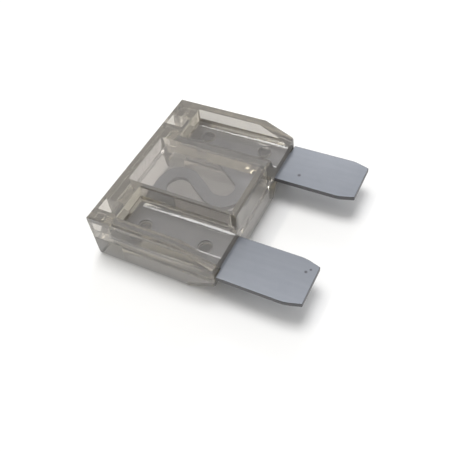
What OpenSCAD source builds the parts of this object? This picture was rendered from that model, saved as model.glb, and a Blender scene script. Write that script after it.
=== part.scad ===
// Large blade fuse for a vehicle: one flat zinc stamping, with two blades
// and an S-shaped link, held between two clear half shells that are welded
// together. It lies on a broad face. X runs across both blades, Y from the
// blade tips to the cap end, and Z through the thickness. The origin is at
// the middle of the face that it lies on.

/* [Housing] */
// Width of the housing at its parting plane
body_w = 29.2; // [28:0.1:36]
// Length of the housing, from the cap end to the blade end
body_l = 21.4; // [20:0.1:28]
// Thickness of the closed housing
body_t = 8.9; // [8.2:0.1:12]
// Radius of the housing's four upright corners
corner_r = 0.7; // [0.5:0.05:1.2]
// How far the two end faces lean in from the parting plane to a broad face
end_draft = 0.35; // [0.05:0.05:0.6]
// How far the two side faces lean in
side_draft = 0.15; // [0.05:0.05:0.3]
// Chamfer round each broad face
edge_chamfer = 0.25; // [0.1:0.05:0.5]

/* [Channels over the blades] */
// Length of the solid cap bar before the channels begin
cap_l = 4.7; // [4:0.1:6]
// Width of each outer rim at the broad face
rim_w = 1.7; // [1.5:0.1:2.1]
// How far the raised middle's sides stand in from the blades' inner edges
box_inset = 0.3; // [0.1:0.05:0.6]
// How much wider each side of the middle is at the channel floor
box_flare = 0.65; // [0.2:0.05:0.9]
// How much wider each rim is at the channel floor
rim_flare = 0.15; // [0.05:0.05:0.4]
// Plastic left over and under each blade
web_t = 1.25; // [1:0.05:1.6]
// Fillet where a channel's walls meet its floor
floor_r = 1.2; // [0.5:0.1:1.5]
// Length of the slope that takes each rim down to the blade end
bevel_l = 5.5; // [3:0.1:8]

/* [Chamber round the link] */
// Wall between the chamber's roof and the cap end
cap_wall = 1.7; // [1.2:0.1:2.4]
// Wall between the chamber's roof and the blade end
end_wall = 1.6; // [1.2:0.1:2]
// Wall between the chamber and each broad face
broad_wall = 1.05; // [0.8:0.05:1.6]
// Wall between the chamber's roof and each channel, at the broad face
side_wall = 0.95; // [0.8:0.05:1.3]
// How far each wall of the chamber leans in from the parting plane to the roof
chamber_draft = 0.2; // [0.05:0.05:0.4]
// Radius of the chamber's upright corners
chamber_r = 1; // [0.5:0.1:1.5]

/* [Test openings in the cap end] */
// Width of each opening
probe_w = 2.3; // [1.6:0.1:3]
// Height of each opening
probe_h = 3.3; // [2:0.1:4]

/* [Fuse element] */
// Thickness of the zinc strip
metal_t = 0.8; // [0.6:0.05:1]
// Width of each blade outside the housing
blade_w = 8; // [7.6:0.1:8.4]
// How far each blade's outer edge stands in from the housing's side
blade_inset = 0.25; // [0.1:0.05:0.6]
// Length of each blade outside the housing
blade_l = 12.9; // [11:0.1:16]
// Length of the taper at each blade tip
tip_l = 2.4; // [1.5:0.1:3.5]
// How far each side of a tip tapers in
tip_inset = 0.7; // [0.4:0.05:1]
// Radius where a blade's straight side turns into its taper
tip_r = 5; // [2:0.5:6]
// Solid wall of the housing outside each tang
outer_wall = 1.9; // [1.5:0.05:2.2]
// Distance from the cap end to the tangs
tang_start = 3.1; // [2.6:0.1:3.5]
// Radius of the tangs' corners
tang_r = 0.5; // [0.2:0.1:1]

/* [S-shaped link] */
// Distance from the cap end to the middle of the S
link_centre = 11.4; // [11:0.1:11.8]
// Width of the slanting middle of the S
neck_w = 2; // [1.4:0.1:2.6]
// Angle of that middle from the blades
neck_angle = 34; // [28:1:38]
// Radius at the round end of each of the two slots that form the S
slot_r = 1.9; // [1.6:0.05:2]
// How far the slots' round ends stand off the middle of the S along its slant
slot_reach = 2.15; // [1.9:0.05:2.4]
// Outer radius of each bend of the S
bend_r = 3.6; // [3.4:0.05:3.8]
// How far the bends' centres stand off the middle of the S along its slant
bend_reach = 2.7; // [2.4:0.05:2.9]

/* [Pins and fits] */
// Diameter of the pins that pass through the tangs
pin_d = 2; // [1.6:0.05:2.2]
// Distance from the cap end to the first row of pins
pin_row_a = 7.4; // [6.5:0.1:8.5]
// Distance from the cap end to the second row of pins
pin_row_b = 17.8; // [16:0.1:18.2]
// How far a pin reaches into the other shell
pin_reach = 0.7; // [0.4:0.05:0.8]
// Clearance round a pin in the metal
hole_fit = 0.1; // [0.05:0.05:0.2]
// Clearance round a pin and past its end in the other shell
pin_fit = 0.05; // [0.03:0.01:0.1]
// Clearance round the metal in the shells
metal_fit = 0.06; // [0.04:0.01:0.12]
// Gap that the weld leaves between the faces of the two halves
seam_gap = 0.02; // [0.01:0.01:0.06]

/* [Hidden] */
$fn = 64;
// Overreach of a cut past the face that it opens
past = 1;
half_t = body_t / 2;
overall_l = body_l + blade_l;
cap_y = overall_l / 2;
end_y = cap_y - body_l;
// Height of the channel floor and of the chamber roof over the parting plane
pocket_h = metal_t / 2 + metal_fit;
floor_h = pocket_h + web_t;
roof_h = half_t - broad_wall;
// Half widths, from the middle plane outwards
rim_x = body_w / 2 - rim_w;
blade_out = body_w / 2 - blade_inset;
blade_in = blade_out - blade_w;
blade_mid = (blade_in + blade_out) / 2;
tang_out = body_w / 2 - outer_wall - metal_fit;
tang_w = tang_out - blade_in;
box_x = blade_in - box_inset;
link_y = cap_y - link_centre;
// Half width and length of the chamber at its roof
chamber_x = box_x - side_wall;
chamber_l = body_l - cap_wall - end_wall;

// The two blades, or what goes with them, are mirror images
module both_sides() {
    children();
    mirror([1, 0, 0]) children();
}

// A rectangle from one corner to the other
module span(from, to) {
    translate(from) square(to - from);
}

// Rectangle on its centre with round corners
module soft_rect(w, l, r) {
    square([w - 2 * r, l], center = true);
    square([w, l - 2 * r], center = true);
    for (x = [-1, 1], y = [-1, 1])
        translate([x * (w / 2 - r), y * (l / 2 - r)]) circle(r);
}

// Section of a half block that leans in towards its broad face
module drafted_section(from, to, draft) {
    polygon([[from, 0], [to, 0],
             [to - draft, half_t - edge_chamfer],
             [to - draft - edge_chamfer, half_t],
             [from + draft + edge_chamfer, half_t],
             [from + draft, half_t - edge_chamfer]]);
}

// Turns a section drawn across Y and Z into a bar along X, and one drawn
// across X and Z into a bar along Y
module bar_along_x(from, to) {
    translate([from, 0, 0]) rotate([90, 0, 90]) linear_extrude(to - from) children();
}

module bar_along_y(from, to) {
    translate([0, to, 0]) rotate([90, 0, 0]) linear_extrude(to - from) children();
}

// Outer form of one half, over its parting plane
module half_block() {
    intersection() {
        translate([0, (cap_y + end_y) / 2, seam_gap / 2])
            linear_extrude(half_t - seam_gap / 2) soft_rect(body_w, body_l, corner_r);
        bar_along_x(-body_w, body_w) drafted_section(end_y, cap_y, end_draft);
        bar_along_y(-overall_l, overall_l)
            drafted_section(-body_w / 2, body_w / 2, side_draft);
    }
}

// Fillet that fills the corner at the origin between a floor along +X and a
// wall that leans back from it by the given angle
module leaning_fillet(r, lean) {
    reach = r / tan(45 + lean / 2);
    difference() {
        polygon([[0, 0], [reach, 0], [reach, r],
                 [-reach * sin(lean), reach * cos(lean)]]);
        translate([reach, r]) circle(r);
    }
}

// Section of the channel over one blade: two leaning walls and a flat floor,
// with a fillet at the foot of each wall
module channel_section() {
    depth = half_t - floor_h;
    foot_in = box_x + box_flare;
    foot_out = rim_x - rim_flare;
    difference() {
        polygon([[foot_in, floor_h], [foot_out, floor_h],
                 [rim_x, half_t], [rim_x, half_t + past],
                 [box_x, half_t + past], [box_x, half_t]]);
        translate([foot_in, floor_h])
            leaning_fillet(floor_r, atan(box_flare / depth));
        translate([foot_out, floor_h]) mirror([1, 0])
            leaning_fillet(floor_r, atan(rim_flare / depth));
    }
}

// Channel from the cap bar out through the blade end, and the slope that
// takes the rim beside it down to the channel floor
module channel_cut() {
    bar_along_y(end_y - past, cap_y - cap_l) channel_section();
    bar_along_x((box_x + rim_x) / 2, body_w)
        polygon([[end_y, floor_h], [end_y + bevel_l, half_t],
                 [end_y + bevel_l, half_t + past], [end_y - past, half_t + past],
                 [end_y - past, floor_h]]);
}

// Section of the chamber, given its middle and its length at the roof
module chamber_section(middle, roof_l) {
    half_foot = roof_l / 2 + chamber_draft * (roof_h + past) / roof_h;
    polygon([[middle - half_foot, -past], [middle + half_foot, -past],
             [middle + roof_l / 2, roof_h], [middle - roof_l / 2, roof_h]]);
}

// Room for the link: the chamber, and the shallow pocket that the stamping
// lies in, which opens at the blade end for the two tangs alone
module element_room() {
    chamber_y = cap_y - cap_wall - chamber_l / 2;
    intersection() {
        translate([0, chamber_y, -past]) linear_extrude(roof_h + past)
            soft_rect(2 * (chamber_x + chamber_draft), chamber_l + 2 * chamber_draft, chamber_r);
        bar_along_x(-body_w, body_w) chamber_section(chamber_y, chamber_l);
        bar_along_y(-overall_l, overall_l) chamber_section(0, 2 * chamber_x);
    }
    translate([0, 0, -past]) linear_extrude(pocket_h + past) both_sides() {
        span([0, end_y + end_wall], [tang_out + metal_fit, cap_y - tang_start + metal_fit]);
        span([blade_in - metal_fit, end_y - past], [tang_out + metal_fit, end_y + end_wall + past]);
    }
}

// Opening in the cap end through which a probe reaches a tang
module probe_cut() {
    translate([blade_mid - probe_w / 2, cap_y - tang_start - metal_fit, -past])
        cube([probe_w, tang_start + metal_fit + past, probe_h / 2 + past]);
}

// One half shell over its parting plane. Both halves come from one mould:
// the pins stand on one side and the holes for them are on the other, so
// that a half turned over meets its twin.
module half_shell() {
    difference() {
        union() {
            difference() {
                half_block();
                both_sides() channel_cut();
                element_room();
                both_sides() probe_cut();
            }
            for (row = [pin_row_a, pin_row_b])
                translate([-blade_mid, cap_y - row, -pocket_h - pin_reach])
                    cylinder(d = pin_d, h = 2 * pocket_h + pin_reach + web_t / 2);
        }
        for (row = [pin_row_a, pin_row_b])
            translate([blade_mid, cap_y - row, -past])
                cylinder(d = pin_d + 2 * pin_fit,
                         h = past + pocket_h + pin_reach + pin_fit);
    }
}

// Outline of a blade and its tang on the +X side. The blade is wider than
// the tang, so its shoulder stops against the housing.
module blade_outline() {
    tip_y = -cap_y;
    taper_y = tip_y + tip_l;
    shoulder_y = end_y - metal_fit;
    translate([blade_in + tang_w / 2, (cap_y - tang_start + shoulder_y) / 2])
        soft_rect(tang_w, cap_y - tang_start - shoulder_y, tang_r);
    span([blade_in, shoulder_y - tang_r], [tang_out, shoulder_y + tang_r]);
    difference() {
        span([blade_in, tip_y], [blade_out, shoulder_y]);
        translate([blade_mid, taper_y]) for (side = [0, 1])
            mirror([side, 0]) translate([blade_w / 2, 0]) tip_cut();
    }
}

// What is cut away beside a tip: all past the taper's straight line, and past
// the arc that leads into it. The origin is where the two straights meet.
module tip_cut() {
    lean = atan(tip_inset / tip_l);
    reach = tip_r * tan(lean / 2);
    taper_start = [-reach * sin(lean), -reach * cos(lean)];
    far = (tip_l + past) / tip_l;
    polygon([[0, 0], [-tip_inset * far, -tip_l * far], [past, -tip_l * far], [past, 0]]);
    difference() {
        polygon([[0, reach], taper_start, [0, 0]]);
        translate([-tip_r, reach]) circle(tip_r, $fn = 128);
    }
}

// One half of the S with its lead from the blade on the -X side. The other
// half is the same turned round. The origin is the middle of the S.
module link_half() {
    bend = [neck_w / 2 - bend_r, bend_reach];
    bend_x = bend.x * cos(neck_angle) + bend.y * sin(neck_angle);
    bend_y = -bend.x * sin(neck_angle) + bend.y * cos(neck_angle);
    lead_end = (neck_w / 2 + 2 * slot_r - blade_in * cos(neck_angle)) / sin(neck_angle);
    difference() {
        union() {
            span([-blade_in - tang_w / 2, lead_end], [bend_x, bend_y + bend_r]);
            rotate(-neck_angle) {
                translate(bend) circle(bend_r);
                span([-neck_w / 2, 0], [neck_w / 2, bend_reach]);
            }
        }
        rotate(-neck_angle) translate([-neck_w / 2 - slot_r, slot_reach]) {
            circle(slot_r);
            span([-slot_r, -overall_l], [slot_r, 0]);
        }
    }
}

module fuse_element() {
    color("slategray")
    translate([0, 0, half_t - metal_t / 2]) linear_extrude(metal_t)
    difference() {
        union() {
            both_sides() blade_outline();
            translate([0, link_y]) for (turn = [0, 180]) rotate(turn) link_half();
        }
        for (row = [pin_row_a, pin_row_b])
            both_sides() translate([blade_mid, cap_y - row]) circle(d = pin_d + 2 * hole_fit);
    }
}

module lower_shell() {
    color("lightgray", 0.5) translate([0, 0, half_t]) rotate([0, 180, 0]) half_shell();
}

module upper_shell() {
    color("whitesmoke", 0.5) translate([0, 0, half_t]) half_shell();
}

lower_shell();
upper_shell();
fuse_element();
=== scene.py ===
"""Finishes, fine detail, floor, light and camera for a large clear blade fuse."""
import math

import bpy
from mathutils import Matrix, Vector


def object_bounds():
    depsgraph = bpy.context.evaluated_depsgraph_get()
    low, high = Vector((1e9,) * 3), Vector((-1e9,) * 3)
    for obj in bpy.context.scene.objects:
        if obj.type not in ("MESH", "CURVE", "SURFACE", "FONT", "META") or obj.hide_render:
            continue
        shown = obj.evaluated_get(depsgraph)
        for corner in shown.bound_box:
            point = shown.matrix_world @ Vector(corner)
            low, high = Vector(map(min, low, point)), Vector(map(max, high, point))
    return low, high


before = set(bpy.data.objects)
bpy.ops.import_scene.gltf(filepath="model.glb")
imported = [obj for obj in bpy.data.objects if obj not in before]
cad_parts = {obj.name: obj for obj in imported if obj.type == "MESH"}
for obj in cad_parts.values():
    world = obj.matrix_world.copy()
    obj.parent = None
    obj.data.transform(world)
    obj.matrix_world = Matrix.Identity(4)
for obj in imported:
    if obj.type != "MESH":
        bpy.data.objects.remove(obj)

CAD_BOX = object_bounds()
MM = 0.001

# Places on the fuse that the finishes follow. The shells meet at the height PARTING.
# The pins stand at plus and minus PIN_X, PIN_REACH before and behind PIN_Y, and end
# PIN_TIP above or below PARTING. PIN_X is also the middle of each opening.
CAP_END = CAD_BOX[1][1]
BLADE_END = CAP_END - 21.4 * MM
PARTING = CAD_BOX[1][2] / 2
CHAMBER_END = CAP_END - 1.6 * MM
CHAMBER_HALF_WIDTH = 4.6 * MM
OPENING_DEPTH = 3.6 * MM
OPENING_HALF_WIDTH = 1.5 * MM
PIN_X = 10.35 * MM
PIN_Y = 4.55 * MM
PIN_REACH = 5.2 * MM
PIN_RADIUS = 1.03 * MM
PIN_TIP = 1.16 * MM
HALF_METAL = 0.47 * MM

bl_info = {
    "name": "Clear Blade Fuse",
    "version": (1, 0, 0),
    "blender": (4, 5, 0),
    "location": "View3D > Sidebar > Fuse",
    "description": "Finishes a large clear blade fuse and sets it on a white floor",
    "category": "Object",
}


class Wire:
    """An output socket that takes part in formulas: each sum adds a Math node."""

    def __init__(self, finish, socket):
        self.finish = finish
        self.socket = socket

    def math(self, operation, *terms):
        return self.finish.node("ShaderNodeMath", {"operation": operation}, dict(enumerate(terms)))

    def __add__(self, other):
        return self.math("ADD", self, other)

    def __sub__(self, other):
        return self.math("SUBTRACT", self, other)

    def __rsub__(self, other):
        return self.math("SUBTRACT", other, self)

    def __mul__(self, other):
        return self.math("MULTIPLY", self, other)

    __radd__ = __add__
    __rmul__ = __mul__

    def root(self):
        return self.math("SQRT", self)

    def size(self):
        """The value without its sign."""
        return self.math("ABSOLUTE", self)

    def ramp(self, low, high):
        """0 up to low, 1 from high on, and smooth between them."""
        return self.finish.node("ShaderNodeMapRange", {"interpolation_type": "SMOOTHSTEP"},
                                {"Value": self, "From Min": low, "From Max": high})

    def within(self, reach, blur):
        """1 where the size is under reach, fading to 0 over blur."""
        return 1 - self.size().ramp(reach, reach + blur)


class Finish:
    """A material and the nodes that make it."""

    def __init__(self, name):
        self.material = bpy.data.materials.new(name)
        self.material.use_nodes = True
        self.tree = self.material.node_tree
        self.tree.nodes.clear()
        self.output = self.tree.nodes.new("ShaderNodeOutputMaterial")

    def node(self, kind, settings, inputs, output=0):
        """Adds a node: its settings first, then the value or link of each named socket."""
        made = self.tree.nodes.new(kind)
        for name, value in settings.items():
            setattr(made, name, value)
        for name, value in inputs.items():
            if isinstance(value, Wire):
                self.tree.links.new(value.socket, made.inputs[name])
            else:
                made.inputs[name].default_value = value
        return Wire(self, made.outputs[output])

    def place(self):
        """Position in the fuse's own frame, in metres."""
        return self.node("ShaderNodeTexCoord", {}, {}, "Object")

    def facing(self):
        """The direction that the surface faces."""
        return self.node("ShaderNodeNewGeometry", {}, {}, "Normal")

    def part_of(self, vector, axis):
        return self.node("ShaderNodeSeparateXYZ", {}, {0: vector}, axis)

    def stretched(self, vector, scale):
        """The same places with each axis scaled."""
        return self.node("ShaderNodeMapping", {}, {"Vector": vector, "Scale": scale})

    def noise(self, vector, spacing, detail=2.0, roughness=0.5):
        """Cloudy noise from 0 to 1 whose lumps are about spacing metres apart."""
        return self.node("ShaderNodeTexNoise", {},
                         {"Vector": vector, "Scale": 1 / spacing, "Detail": detail, "Roughness": roughness})

    def mix(self, share, first, second):
        """A colour between two others."""
        return self.node("ShaderNodeMix", {"data_type": "RGBA"}, {0: share, 6: first, 7: second}, 2)

    def relief(self, height):
        """Bends the surface's normal as if the surface stood out by height metres."""
        return self.node("ShaderNodeBump", {}, {"Height": height, "Distance": 1.0, "Strength": 1.0})

    def pin_radius(self, x, y):
        """Distance from the axis of the nearest of the four pins."""
        across = x.size() - PIN_X
        along = (y - PIN_Y).size() - PIN_REACH
        return (across * across + along * along).root()

    def surface(self, shader):
        self.tree.links.new(shader.socket, self.output.inputs["Surface"])

    def inside(self, shader):
        self.tree.links.new(shader.socket, self.output.inputs["Volume"])


def solid(colour):
    """A colour setting as a socket takes it, with no see-through."""
    return (*colour, 1)


def assign(node, material):
    """Gives a CAD node its one material."""
    node.data.materials.clear()
    node.data.materials.append(material)


def soften_edges(node, width, segments):
    """Joins the node's triangles into whole faces and rounds its sharp edges slightly."""
    weld = node.modifiers.new("weld", "WELD")
    weld.merge_threshold = 0.001 * MM
    faces = node.modifiers.new("faces", "DECIMATE")
    faces.decimate_type = "DISSOLVE"
    faces.angle_limit = math.radians(1)
    bevel = node.modifiers.new("bevel", "BEVEL")
    bevel.width = width
    bevel.segments = segments
    bevel.limit_method = "ANGLE"
    bevel.angle_limit = math.radians(30)
    bevel.harden_normals = True


class PlasticSettings(bpy.types.PropertyGroup):
    """Sizes and colours of the clear housing"""
    tint: bpy.props.FloatVectorProperty(
        name="Tint", description="Colour that the plastic lets through", subtype="COLOR",
        size=3, min=0, max=1, default=(0.62, 0.56, 0.34))
    density: bpy.props.FloatProperty(
        name="Density", description="How strongly each metre of plastic takes up the other colours",
        default=130.0, min=0)
    bloom: bpy.props.FloatVectorProperty(
        name="Bloom", description="Colour of the milky bloom on the faces", subtype="COLOR",
        size=3, min=0, max=1, default=(0.91, 0.89, 0.89))
    clearness: bpy.props.FloatProperty(
        name="Clearness", description="Share of the light that the bloom leaves alone",
        default=0.89, min=0, max=1)
    ior: bpy.props.FloatProperty(
        name="Refraction", description="Refractive index of the plastic", default=1.56, min=1, max=2)
    haze: bpy.props.FloatProperty(
        name="Haze", description="Roughness of the moulded faces", default=0.02, min=0, max=1)
    haze_spread: bpy.props.FloatProperty(
        name="Haze Spread", description="How much the roughness differs from place to place",
        default=0.03, min=0, max=1)
    edge_radius: bpy.props.FloatProperty(
        name="Edge Radius", description="Width of the rounded edges", unit="LENGTH", default=0.26 * MM)
    wave_spacing: bpy.props.FloatProperty(
        name="Wave Spacing", description="Distance between the flow waves on the faces",
        unit="LENGTH", default=2.4 * MM)
    wave_depth: bpy.props.FloatProperty(
        name="Wave Depth", description="Height of the flow waves", unit="LENGTH", default=0.035 * MM)
    ripple_depth: bpy.props.FloatProperty(
        name="Ripple Depth", description="Height of the ripples on the chamber's wall",
        unit="LENGTH", default=0.12 * MM)
    flash_depth: bpy.props.FloatProperty(
        name="Flash Depth", description="Height of the flecks of flash along the weld",
        unit="LENGTH", default=0.15 * MM)
    seam_depth: bpy.props.FloatProperty(
        name="Seam Depth", description="Depth of the groove along the weld", unit="LENGTH",
        default=0.12 * MM)
    # Painted shade: darkens the pins' ends to stand for the shaded floor seen through them.
    pin_end_shade: bpy.props.FloatVectorProperty(
        name="Pin End", description="Colour of the pins' melted ends", subtype="COLOR",
        size=3, min=0, max=1, default=(0.2, 0.2, 0.2))


class ZincSettings(bpy.types.PropertyGroup):
    """Colours and grain of the zinc stamping"""
    colour: bpy.props.FloatVectorProperty(
        name="Colour", description="Colour of the rolled faces", subtype="COLOR",
        size=3, min=0, max=1, default=(0.2, 0.213, 0.24))
    stain: bpy.props.FloatVectorProperty(
        name="Stain", description="Colour of the faint cloudy stains", subtype="COLOR",
        size=3, min=0, max=1, default=(0.178, 0.191, 0.219))
    # Partly the sheared metal's own darker colour and partly painted shade on the sideways faces.
    edge_and_shade_colour: bpy.props.FloatVectorProperty(
        name="Edge Colour", description="Colour of the blades' sheared edges", subtype="COLOR",
        size=3, min=0, max=1, default=(0.1, 0.1, 0.105))
    # Painted shade: the sheared edges inside the housing are made nearly black for the housing's shade.
    shaded_inner_edge: bpy.props.FloatVectorProperty(
        name="Inner Edge", description="Colour of the sheared edges in the housing", subtype="COLOR",
        size=3, min=0, max=1, default=(0.02, 0.02, 0.02))
    speck: bpy.props.FloatVectorProperty(
        name="Speck", description="Colour of the small specks", subtype="COLOR",
        size=3, min=0, max=1, default=(0.07, 0.07, 0.08))
    metallic: bpy.props.FloatProperty(
        name="Metallic", description="Share of bare metal under the dull skin",
        default=0.5, min=0, max=1)
    roughness: bpy.props.FloatProperty(
        name="Roughness", description="Roughness of the rolled faces", default=0.36, min=0, max=1)
    grain_depth: bpy.props.FloatProperty(
        name="Grain Depth", description="Height of the rolling grain", unit="LENGTH",
        default=0.002 * MM)
    edge_radius: bpy.props.FloatProperty(
        name="Edge Radius", description="Width of the edges that the press rounded",
        unit="LENGTH", default=0.1 * MM)

    def marks(self):
        """Place and size of each larger speck: one on a blade, two at a blade's tip."""
        return ((8.3 * MM, -7.6 * MM, 0.3 * MM), (-8.6 * MM, -15.6 * MM, 0.25 * MM),
                (-8.0 * MM, -16.1 * MM, 0.2 * MM))


class StageSettings(bpy.types.PropertyGroup):
    """Floor, light and camera"""
    floor_colour: bpy.props.FloatVectorProperty(
        name="Floor Colour", description="Colour of the floor", subtype="COLOR",
        size=3, min=0, max=1, default=(0.9, 0.9, 0.9))
    floor_size: bpy.props.FloatProperty(
        name="Floor Size", description="Length of the floor's side", unit="LENGTH", default=3.0)
    # Painted shade: the floor is darker wherever it is seen through the plastic.
    behind: bpy.props.FloatVectorProperty(
        name="Behind", description="Colour of the floor seen through the plastic", subtype="COLOR",
        size=3, min=0, max=1, default=(0.6, 0.6, 0.6))
    # Painted light: the floor glows where it is seen through the plastic, standing for the light the
    # plastic gathers.
    glow: bpy.props.FloatProperty(
        name="Glow", description="Light that the plastic gathers on the floor behind it",
        default=0.14, min=0)
    shade_reach: bpy.props.FloatProperty(
        name="Shade Reach", description="How far round the fuse the floor shows its shadow",
        unit="LENGTH", default=60 * MM)
    sky: bpy.props.FloatProperty(
        name="Sky", description="Strength of the even light from all round", default=0.5, min=0)
    lamp_place: bpy.props.FloatVectorProperty(
        name="Lamp Place", description="Middle of the soft lamp overhead", subtype="TRANSLATION",
        size=3, default=(0.06, 0.03, 0.45))
    lamp_size: bpy.props.FloatProperty(
        name="Lamp Size", description="Length of that lamp's side", unit="LENGTH", default=0.2)
    lamp_power: bpy.props.FloatProperty(
        name="Lamp Power", description="Power of that lamp in watts", default=1.15, min=0)
    panel_place: bpy.props.FloatVectorProperty(
        name="Panel Place", description="Middle of the faint panel behind", subtype="TRANSLATION",
        size=3, default=(0.42, 0.11, 0.27))
    panel_size: bpy.props.FloatProperty(
        name="Panel Size", description="Length of the panel's side", unit="LENGTH", default=0.16)
    panel_power: bpy.props.FloatProperty(
        name="Panel Power", description="Power of the panel in watts", default=0.5, min=0)
    window_place: bpy.props.FloatVectorProperty(
        name="Window Place", description="Middle of the long window above the cap end",
        subtype="TRANSLATION", size=3, default=(0.0, 0.158, 0.4))
    window_length: bpy.props.FloatProperty(
        name="Window Length", description="Length of the window across the fuse",
        unit="LENGTH", default=0.36)
    window_height: bpy.props.FloatProperty(
        name="Window Height", description="Length of its short side", unit="LENGTH", default=0.03)
    window_power: bpy.props.FloatProperty(
        name="Window Power", description="Power of the window in watts", default=0.3, min=0)
    window_colour: bpy.props.FloatVectorProperty(
        name="Window Colour", description="Colour of the window's light", subtype="COLOR",
        size=3, min=0, max=1, default=(1, 0.96, 0.86))
    aim: bpy.props.FloatVectorProperty(
        name="Aim", description="Point that the camera looks at", subtype="TRANSLATION",
        size=3, default=(-5.13 * MM, -1.31 * MM, 4.45 * MM))
    distance: bpy.props.FloatProperty(
        name="Distance", description="From the camera to that point", unit="LENGTH", default=91.4 * MM)
    azimuth: bpy.props.FloatProperty(
        name="Azimuth", description="Turn of the camera round the fuse, from looking along +Y",
        subtype="ANGLE", default=math.radians(-56.1))
    elevation: bpy.props.FloatProperty(
        name="Elevation", description="Height of the camera above the horizon",
        subtype="ANGLE", default=math.radians(49.9))
    roll: bpy.props.FloatProperty(
        name="Roll", description="Tilt of the camera about its own line of sight",
        subtype="ANGLE", default=math.radians(-9.1))
    lens: bpy.props.FloatProperty(
        name="Lens", description="Focal length in millimetres on a sensor 36 mm wide", default=48.3)


def moulded_relief(finish, settings, place, x, y, level):
    """Height of the moulded faces: slow flow waves, ripples on the chamber's wall at the cap
    end, and along the weld a groove, with flecks of flash at that wall and at the openings."""
    waves = finish.noise(place, settings.wave_spacing, detail=1.0)
    ripples = finish.noise(finish.stretched(place, (1, 1, 0.12)), 0.45 * MM, detail=2.0)
    chamber_wall = (y - CHAMBER_END).within(0.15 * MM, 0.1 * MM) * x.within(CHAMBER_HALF_WIDTH, 0.4 * MM)
    flash = finish.noise(place, 0.4 * MM, detail=3.0, roughness=0.7)
    chamber_line = (y - (CHAMBER_END - 0.1 * MM)).within(0.2 * MM, 0.3 * MM)
    opening_line = ((x.size() - PIN_X).within(OPENING_HALF_WIDTH, 0.3 * MM)
                    * y.ramp(CAP_END - OPENING_DEPTH - 0.4 * MM, CAP_END - OPENING_DEPTH))
    weld = level.within(0.02 * MM, 0.01 * MM) * (chamber_line + opening_line * 0.7)
    seam = level.within(0.02 * MM, 0.12 * MM)
    return (waves * settings.wave_depth + ripples * chamber_wall * settings.ripple_depth
            + flash * weld * settings.flash_depth - seam * settings.seam_depth)


def clear_plastic(settings):
    """Clear moulded plastic, faintly smoky. A pin's side is hidden where it is melted to the
    metal, and its end is darkened with painted shade that stands for the shaded floor seen through it."""
    finish = Finish("clear_plastic")
    place = finish.place()
    x, y, z = (finish.part_of(place, axis) for axis in "XYZ")
    level = (z - PARTING).size()
    pin = finish.pin_radius(x, y).within(PIN_RADIUS, 0.02 * MM)
    pin_side = pin * level.within(HALF_METAL, 0.02 * MM)
    # Mask of the pins' end faces, where painted shade darkens the plastic.
    pin_end_shade = (pin * level.ramp(PIN_TIP - 0.08 * MM, PIN_TIP - 0.04 * MM)
               * level.within(PIN_TIP + 0.14 * MM, 0.02 * MM))
    haze = finish.noise(place, 6 * MM, detail=3.0)
    finish.surface(finish.node("ShaderNodeBsdfPrincipled", {}, {
        # The pins' ends take the painted shade colour here.
        "Base Color": finish.mix(pin_end_shade, solid(settings.bloom), solid(settings.pin_end_shade)),
        "Roughness": haze * settings.haze_spread + (settings.haze - settings.haze_spread / 2),
        "IOR": settings.ior,
        "Alpha": 1 - pin_side,
        "Transmission Weight": settings.clearness,
        "Normal": finish.relief(moulded_relief(finish, settings, place, x, y, level)),
    }))
    finish.inside(finish.node("ShaderNodeVolumeAbsorption", {},
                              {"Color": solid(settings.tint), "Density": settings.density}))
    return finish.material


def zinc_specks(finish, settings, place, x, y):
    """1 on the small scattered specks and on the larger marks."""
    specks = finish.noise(place, 0.7 * MM, detail=2.0).ramp(0.76, 0.82) * 0.6
    for mark_x, mark_y, radius in settings.marks():
        across, along = x - mark_x, y - mark_y
        specks = specks + (across * across + along * along).root().within(radius * 0.3, radius)
    return specks


def zinc(settings):
    """Matte rolled zinc with a lengthwise grain, faint stains and small specks, and darker
    sheared edges, partly their own colour and partly painted shade, with painted shade making them darkest
    in the housing."""
    finish = Finish("zinc")
    place = finish.place()
    x, y = (finish.part_of(place, axis) for axis in "XY")
    stains = finish.noise(place, 4 * MM, detail=4.0, roughness=0.6)
    streaks = finish.noise(finish.stretched(place, (1, 0.08, 1)), 0.7 * MM, detail=3.0)
    grain = finish.noise(finish.stretched(place, (1, 0.06, 1)), 0.09 * MM, detail=2.0)
    # Mask of the sideways faces, which get the darker edge colour: partly real sheared metal, partly
    # painted shade.
    edge = 1 - finish.part_of(finish.facing(), "Z").size().ramp(0.6, 0.95)
    # Painted shade: mask of the element inside the housing, where its sheared edges are darkened.
    housing_shade = y.ramp(BLADE_END - 0.1 * MM, BLADE_END)
    rolled = finish.mix(stains.ramp(0.35, 0.75) * 0.6 + streaks.ramp(0.3, 0.7) * 0.4,
                        solid(settings.colour), solid(settings.stain))
    marked = finish.mix(zinc_specks(finish, settings, place, x, y), rolled, solid(settings.speck))
    # Edge colour: partly the sheared metal, partly painted shade, with painted shade darkest in the
    # housing.
    sheared = finish.mix(housing_shade, solid(settings.edge_and_shade_colour), solid(settings.shaded_inner_edge))
    stain_share, grain_share = 0.1, 0.08
    finish.surface(finish.node("ShaderNodeBsdfPrincipled", {}, {
        "Base Color": finish.mix(edge, marked, sheared),
        "Metallic": settings.metallic,
        "Roughness": (stains * stain_share + grain * grain_share
                      + (settings.roughness - (stain_share + grain_share) / 2)),
        "Normal": finish.relief(grain * settings.grain_depth),
    }))
    return finish.material


class FUSE_OT_housing(bpy.types.Operator):
    """Gives both half shells their clear plastic and rounds their edges"""
    bl_idname = "fuse.housing"
    bl_label = "Clear Housing"

    def execute(self, context):
        settings = context.scene.fuse_plastic
        material = clear_plastic(settings)
        for name in ("lower_shell", "upper_shell"):
            assign(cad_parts[name], material)
            soften_edges(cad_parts[name], settings.edge_radius, 3)
        return {"FINISHED"}


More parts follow.
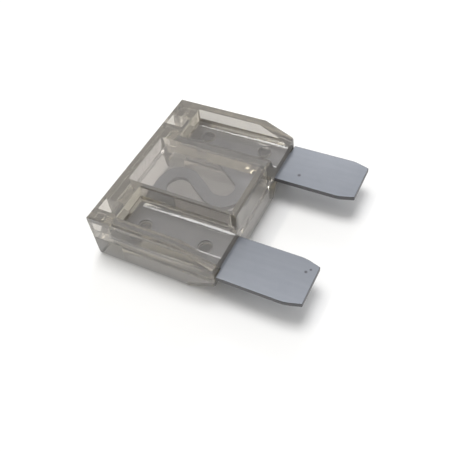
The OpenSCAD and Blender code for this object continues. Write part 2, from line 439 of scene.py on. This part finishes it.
class FUSE_OT_element(bpy.types.Operator):
    """Gives the fuse element its zinc and rounds its edges"""
    bl_idname = "fuse.element"
    bl_label = "Zinc Element"

    def execute(self, context):
        settings = context.scene.fuse_zinc
        assign(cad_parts["fuse_element"], zinc(settings))
        soften_edges(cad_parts["fuse_element"], settings.edge_radius, 2)
        return {"FINISHED"}


def floor_finish(settings):
    """White that keeps the fuse's shadow near it and shows plain white farther away. Seen
    through the plastic it is greyer with painted shade, and glows with painted light that stands for the
    light the plastic gathers."""
    finish = Finish("floor")
    camera, glossy, through = (finish.node("ShaderNodeLightPath", {}, {}, f"Is {kind} Ray")
                               for kind in ("Camera", "Glossy", "Transmission"))
    place = finish.place()
    x, y = (finish.part_of(place, axis) for axis in "XY")
    away = (x * x + y * y).root().ramp(settings.shade_reach, 2 * settings.shade_reach)
    lit = finish.node("ShaderNodeBsdfPrincipled", {}, {
        # Painted shade: the floor turns grey for rays that come through the plastic.
        "Base Color": finish.mix(through, solid(settings.floor_colour), solid(settings.behind)),
        "Roughness": 0.9,
        "Specular IOR Level": 0.0,
        # Painted light: emission only for rays that come through the plastic.
        "Emission Color": finish.mix(through, (0, 0, 0, 1), (1, 1, 1, 1)),
        "Emission Strength": settings.glow,
    })
    white = finish.node("ShaderNodeEmission", {}, {"Strength": 1.0})
    seen = camera + glossy * (1 - through)
    finish.surface(finish.node("ShaderNodeMixShader", {}, {0: seen * away, 1: lit, 2: white}))
    return finish.material


def add_floor(settings):
    """Square floor under the fuse."""
    bpy.ops.object.select_all(action="DESELECT")
    bpy.ops.mesh.primitive_plane_add(size=settings.floor_size)
    floor = bpy.context.object
    floor.name = "floor"
    floor.data.materials.append(floor_finish(settings))


def add_world(strength):
    """Soft even light from all round, plain white to the camera."""
    world = bpy.data.worlds.new("studio")
    world.use_nodes = True
    bpy.context.scene.world = world
    tree = world.node_tree
    tree.nodes.clear()
    path = tree.nodes.new("ShaderNodeLightPath")
    lit = tree.nodes.new("ShaderNodeBackground")
    lit.inputs["Strength"].default_value = strength
    white = tree.nodes.new("ShaderNodeBackground")
    mix = tree.nodes.new("ShaderNodeMixShader")
    out = tree.nodes.new("ShaderNodeOutputWorld")
    for shader in (lit, white):
        shader.inputs["Color"].default_value = (1, 1, 1, 1)
    tree.links.new(path.outputs["Is Camera Ray"], mix.inputs[0])
    tree.links.new(lit.outputs[0], mix.inputs[1])
    tree.links.new(white.outputs[0], mix.inputs[2])
    tree.links.new(mix.outputs[0], out.inputs["Surface"])


def add_lamp(name, place, length, height, power, colour=(1, 1, 1)):
    """Rectangular soft lamp that looks at the fuse."""
    lamp = bpy.data.lights.new(name, "AREA")
    lamp.shape = "RECTANGLE"
    lamp.size = length
    lamp.size_y = height
    lamp.energy = power
    lamp.color = colour
    holder = bpy.data.objects.new(name, lamp)
    holder.location = place
    holder.rotation_euler = (-Vector(place)).to_track_quat("-Z", "Y").to_euler()
    bpy.context.collection.objects.link(holder)


def add_camera(settings):
    """Camera at the fitted place, tilted about its line of sight."""
    turn, rise = settings.azimuth, settings.elevation
    back = Vector((math.sin(turn) * math.cos(rise), -math.cos(turn) * math.cos(rise), math.sin(rise)))
    right = Vector((math.cos(turn), math.sin(turn), 0))
    stand = Matrix((right, back.cross(right), back)).transposed()
    camera = bpy.data.objects.new("camera", bpy.data.cameras.new("camera"))
    camera.matrix_world = (Matrix.Translation(Vector(settings.aim) + back * settings.distance)
                           @ (stand @ Matrix.Rotation(settings.roll, 3, "Z")).to_4x4())
    camera.data.lens = settings.lens
    camera.data.clip_start = 1 * MM
    camera.data.clip_end = 10
    bpy.context.collection.objects.link(camera)
    bpy.context.scene.camera = camera


class FUSE_OT_stage(bpy.types.Operator):
    """Adds the floor, the light and the camera"""
    bl_idname = "fuse.stage"
    bl_label = "Floor, Light and Camera"

    def execute(self, context):
        settings = context.scene.fuse_stage
        add_floor(settings)
        add_world(settings.sky)
        add_lamp("lamp", settings.lamp_place, settings.lamp_size, settings.lamp_size,
                 settings.lamp_power)
        add_lamp("panel", settings.panel_place, settings.panel_size, settings.panel_size,
                 settings.panel_power)
        add_lamp("window", settings.window_place, settings.window_length, settings.window_height,
                 settings.window_power, settings.window_colour)
        add_camera(settings)
        context.scene.view_settings.view_transform = "Standard"
        return {"FINISHED"}


class FUSE_PT_panel(bpy.types.Panel):
    """The steps that finish the fuse, in order"""
    bl_label = "Clear Blade Fuse"
    bl_idname = "FUSE_PT_panel"
    bl_space_type = "VIEW_3D"
    bl_region_type = "UI"
    bl_category = "Fuse"

    def draw(self, context):
        for operator in OPERATORS:
            self.layout.operator(operator.bl_idname)


SETTINGS = {"fuse_plastic": PlasticSettings, "fuse_zinc": ZincSettings, "fuse_stage": StageSettings}
OPERATORS = (FUSE_OT_housing, FUSE_OT_element, FUSE_OT_stage)


def register():
    for cls in (*SETTINGS.values(), *OPERATORS, FUSE_PT_panel):
        bpy.utils.register_class(cls)
    for name, group in SETTINGS.items():
        setattr(bpy.types.Scene, name, bpy.props.PointerProperty(type=group))


def unregister():
    for name in SETTINGS:
        delattr(bpy.types.Scene, name)
    for cls in (FUSE_PT_panel, *reversed(OPERATORS), *reversed(list(SETTINGS.values()))):
        bpy.utils.unregister_class(cls)


def main():
    register()
    bpy.ops.fuse.housing()
    bpy.ops.fuse.element()
    bpy.ops.fuse.stage()


if __name__ == "__main__":
    main()
